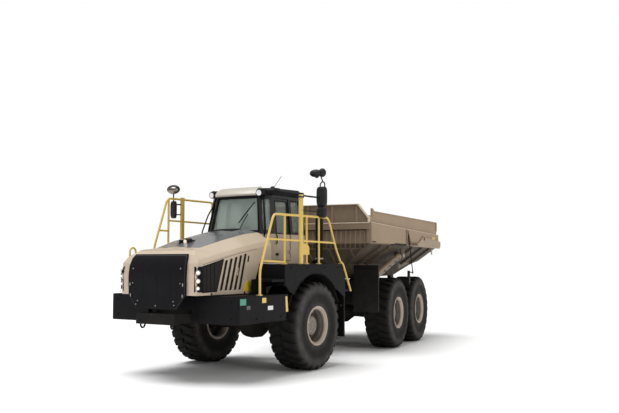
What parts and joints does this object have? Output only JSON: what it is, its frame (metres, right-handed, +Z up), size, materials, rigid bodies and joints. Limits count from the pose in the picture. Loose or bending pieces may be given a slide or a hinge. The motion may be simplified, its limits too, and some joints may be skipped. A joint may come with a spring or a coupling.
{
  "type": "articulated dump truck",
  "caption": "Six-wheel articulated dump truck in champagne beige and black: hinged tractor and load sections, tipping body with tailgate, tilting hood, opening cab door and yellow handrails.",
  "frame": {"origin": "middle of the whole truck's footprint box, on the ground", "axes": "+X forward along the tractor section, +Y the truck's left, +Z up; the rear section is turned 7.8 degrees at the hitch"},
  "size_m": [10.5612, 3.8678, 3.7257],
  "materials": {
    "champagne_paint": "satin champagne beige paint",
    "black_paint": "satin black paint",
    "safety_yellow": "gloss safety yellow",
    "tyre_rubber": "dusty black tyre rubber",
    "rod_steel": "hard chrome",
    "cab_glass": "tinted safety glass",
    "seat_cloth": "woven seat cloth",
    "cab_plastic": "moulded black plastic",
    "chassis_iron": "matt black chassis paint, dusty"
  },
  "bodies": {
    "front_section": {"front_frame": "chassis_iron", "front_axle": "chassis_iron", "engine_block": "chassis_iron", "front_bumper": "black_paint", "fender_left": "black_paint", "fender_right": "black_paint", "cab_shell": "champagne_paint", "cab_base": "black_paint", "cab_roof": "black_paint", "windscreen": "cab_glass", "side_glass_left": "cab_glass", "side_glass_right": "cab_glass", "rear_glass": "cab_glass", "driver_seat": "seat_cloth", "dashboard": "cab_plastic", "steering_wheel": "cab_plastic", "handrail_left": "safety_yellow", "handrail_right": "safety_yellow", "mirror_left": "black_paint", "mirror_right": "black_paint", "exhaust_stack": "black_paint"},
    "hood": {"hood": "champagne_paint", "front_grille": "black_paint"},
    "door": {"cab_door": "black_paint", "door_glass": "cab_glass"},
    "hitch": {"hitch_yoke": "chassis_iron"},
    "rear_section": {"rear_frame": "chassis_iron", "mid_axle": "chassis_iron", "rear_axle": "chassis_iron", "bogie_beam_left": "chassis_iron", "bogie_beam_right": "chassis_iron", "drive_shaft": "chassis_iron"},
    "dump_body": {"dump_body": "champagne_paint"},
    "tailgate": {"tailgate": "champagne_paint"},
    "wheel_front_left": {"tyre_front_left": "tyre_rubber", "rim_front_left": "champagne_paint"},
    "wheel_mid_left": {"tyre_mid_left": "tyre_rubber", "rim_mid_left": "champagne_paint"},
    "wheel_rear_left": {"tyre_rear_left": "tyre_rubber", "rim_rear_left": "champagne_paint"},
    "wheel_front_right": {"tyre_front_right": "tyre_rubber", "rim_front_right": "champagne_paint"},
    "wheel_mid_right": {"tyre_mid_right": "tyre_rubber", "rim_mid_right": "champagne_paint"},
    "wheel_rear_right": {"tyre_rear_right": "tyre_rubber", "rim_rear_right": "champagne_paint"},
    "tailgate_link_left": {"tailgate_link_left": "black_paint"},
    "tailgate_link_right": {"tailgate_link_right": "black_paint"},
    "hoist_barrel_left": {"hoist_barrel_left": "champagne_paint"},
    "hoist_rod_left": {"hoist_rod_left": "rod_steel"},
    "hoist_barrel_right": {"hoist_barrel_right": "champagne_paint"},
    "hoist_rod_right": {"hoist_rod_right": "rod_steel"},
    "steer_barrel_left": {"steer_barrel_left": "black_paint"},
    "steer_rod_left": {"steer_rod_left": "rod_steel"},
    "steer_barrel_right": {"steer_barrel_right": "black_paint"},
    "steer_rod_right": {"steer_rod_right": "rod_steel"}
  },
  "joints": [
    {"name": "articulation_steer", "type": "hinge", "parent": "front_section", "child": "hitch", "pos_m": [1.1189, 0.3994, 0.96], "axis": [0, 0, 1], "range_deg": [-50.77, 35.23]},
    {"name": "frame_oscillation", "type": "hinge", "parent": "hitch", "child": "rear_section", "pos_m": [0.32624, 0.29124, 0.96], "axis": [0.9908, 0.1352, 0], "range_deg": [-15, 15]},
    {"name": "wheel_front_left_spin", "type": "hinge", "parent": "front_section", "child": "wheel_front_left", "pos_m": [2.5189, 1.5514, 0.80307], "axis": [0, 1, 0], "continuous": true},
    {"name": "wheel_mid_left_spin", "type": "hinge", "parent": "rear_section", "child": "wheel_mid_left", "pos_m": [-1.66053, 1.18282, 0.80307], "axis": [-0.1352, 0.9908, 0], "continuous": true},
    {"name": "wheel_rear_left_spin", "type": "hinge", "parent": "rear_section", "child": "wheel_rear_left", "pos_m": [-3.34691, 0.95272, 0.80307], "axis": [-0.1352, 0.9908, 0], "continuous": true},
    {"name": "wheel_front_right_spin", "type": "hinge", "parent": "front_section", "child": "wheel_front_right", "pos_m": [2.5189, -0.7526, 0.80307], "axis": [0, 1, 0], "continuous": true},
    {"name": "wheel_mid_right_spin", "type": "hinge", "parent": "rear_section", "child": "wheel_mid_right", "pos_m": [-1.34904, -1.10002, 0.80307], "axis": [-0.1352, 0.9908, 0], "continuous": true},
    {"name": "wheel_rear_right_spin", "type": "hinge", "parent": "rear_section", "child": "wheel_rear_right", "pos_m": [-3.03541, -1.33013, 0.80307], "axis": [-0.1352, 0.9908, 0], "continuous": true},
    {"name": "hood_tilt", "type": "hinge", "parent": "front_section", "child": "hood", "pos_m": [5.2639, 0.3994, 1.185], "axis": [0, 1, 0], "range_deg": [0, 70]},
    {"name": "cab_door_swing", "type": "hinge", "parent": "front_section", "child": "door", "pos_m": [2.4339, 1.1944, 2.4], "axis": [0, 0, 1], "range_deg": [0, 75]},
    {"name": "body_tip", "type": "hinge", "parent": "rear_section", "child": "dump_body", "pos_m": [-3.78565, -0.26982, 1.45], "axis": [0.1352, -0.9908, 0], "range_deg": [0, 65]},
    {"name": "tailgate_lift", "type": "hinge", "parent": "dump_body", "child": "tailgate", "pos_m": [-3.4785, -0.22791, 2.558], "axis": [-0.1352, 0.9908, 0], "range_deg": [0, 74.53]},
    {"name": "tailgate_link_left_swing", "type": "hinge", "parent": "rear_section", "child": "tailgate_link_left", "pos_m": [-2.58432, 1.42919, 1.72], "axis": [0.1352, -0.9908, 0], "range_deg": [0, 91.29]},
    {"name": "tailgate_link_right_swing", "type": "hinge", "parent": "rear_section", "child": "tailgate_link_right", "pos_m": [-2.17306, -1.58488, 1.72], "axis": [0.1352, -0.9908, 0], "range_deg": [0, 91.29]},
    {"name": "hoist_barrel_left_swing", "type": "hinge", "parent": "rear_section", "child": "hoist_barrel_left", "pos_m": [-0.49669, 1.44054, 1.62], "axis": [-0.1352, 0.9908, 0], "range_deg": [-0.5, 9.96]},
    {"name": "hoist_rod_left_slide", "type": "slide", "parent": "hoist_barrel_left", "child": "hoist_rod_left", "axis": [-0.9566, -0.1305, 0.2605], "range_m": [0, 1.8187]},
    {"name": "hoist_barrel_right_swing", "type": "hinge", "parent": "rear_section", "child": "hoist_barrel_right", "pos_m": [-0.1587, -1.03651, 1.62], "axis": [-0.1352, 0.9908, 0], "range_deg": [-0.5, 9.96]},
    {"name": "hoist_rod_right_slide", "type": "slide", "parent": "hoist_barrel_right", "child": "hoist_rod_right", "axis": [-0.9566, -0.1305, 0.2605], "range_m": [0, 1.8187]},
    {"name": "steer_barrel_left_swing", "type": "hinge", "parent": "front_section", "child": "steer_barrel_left", "pos_m": [2.2189, 1.0194, 0.9], "axis": [0, 0, 1], "range_deg": [-13.91, 9.8]},
    {"name": "steer_rod_left_slide", "type": "slide", "parent": "steer_barrel_left", "child": "steer_rod_left", "axis": [-0.9934, -0.1148, 0], "range_m": [-0.4852, 0.3382]},
    {"name": "steer_barrel_right_swing", "type": "hinge", "parent": "front_section", "child": "steer_barrel_right", "pos_m": [2.2189, -0.2206, 0.9], "axis": [0, 0, 1], "range_deg": [-14.81, 10.43]},
    {"name": "steer_rod_right_slide", "type": "slide", "parent": "steer_barrel_right", "child": "steer_rod_right", "axis": [-0.9993, 0.0373, 0], "range_m": [-0.3158, 0.4529]}
  ],
  "couplings": [
    {"joint": "tailgate_lift", "follows": "body_tip", "ratio": 1.1389},
    {"joint": "tailgate_link_left_swing", "follows": "body_tip", "ratio": 1.3967},
    {"joint": "tailgate_link_right_swing", "follows": "body_tip", "ratio": 1.3967},
    {"joint": "hoist_barrel_left_swing", "follows": "body_tip", "ratio": 0.14551},
    {"joint": "hoist_rod_left_slide", "follows": "body_tip", "m_per_rad": 1.5987},
    {"joint": "hoist_barrel_right_swing", "follows": "body_tip", "ratio": 0.14551},
    {"joint": "hoist_rod_right_slide", "follows": "body_tip", "m_per_rad": 1.5987},
    {"joint": "steer_barrel_left_swing", "follows": "articulation_steer", "ratio": 0.2641},
    {"joint": "steer_rod_left_slide", "follows": "articulation_steer", "m_per_rad": 0.54195},
    {"joint": "steer_barrel_right_swing", "follows": "articulation_steer", "ratio": 0.28191},
    {"joint": "steer_rod_right_slide", "follows": "articulation_steer", "m_per_rad": -0.50552}
  ]
}
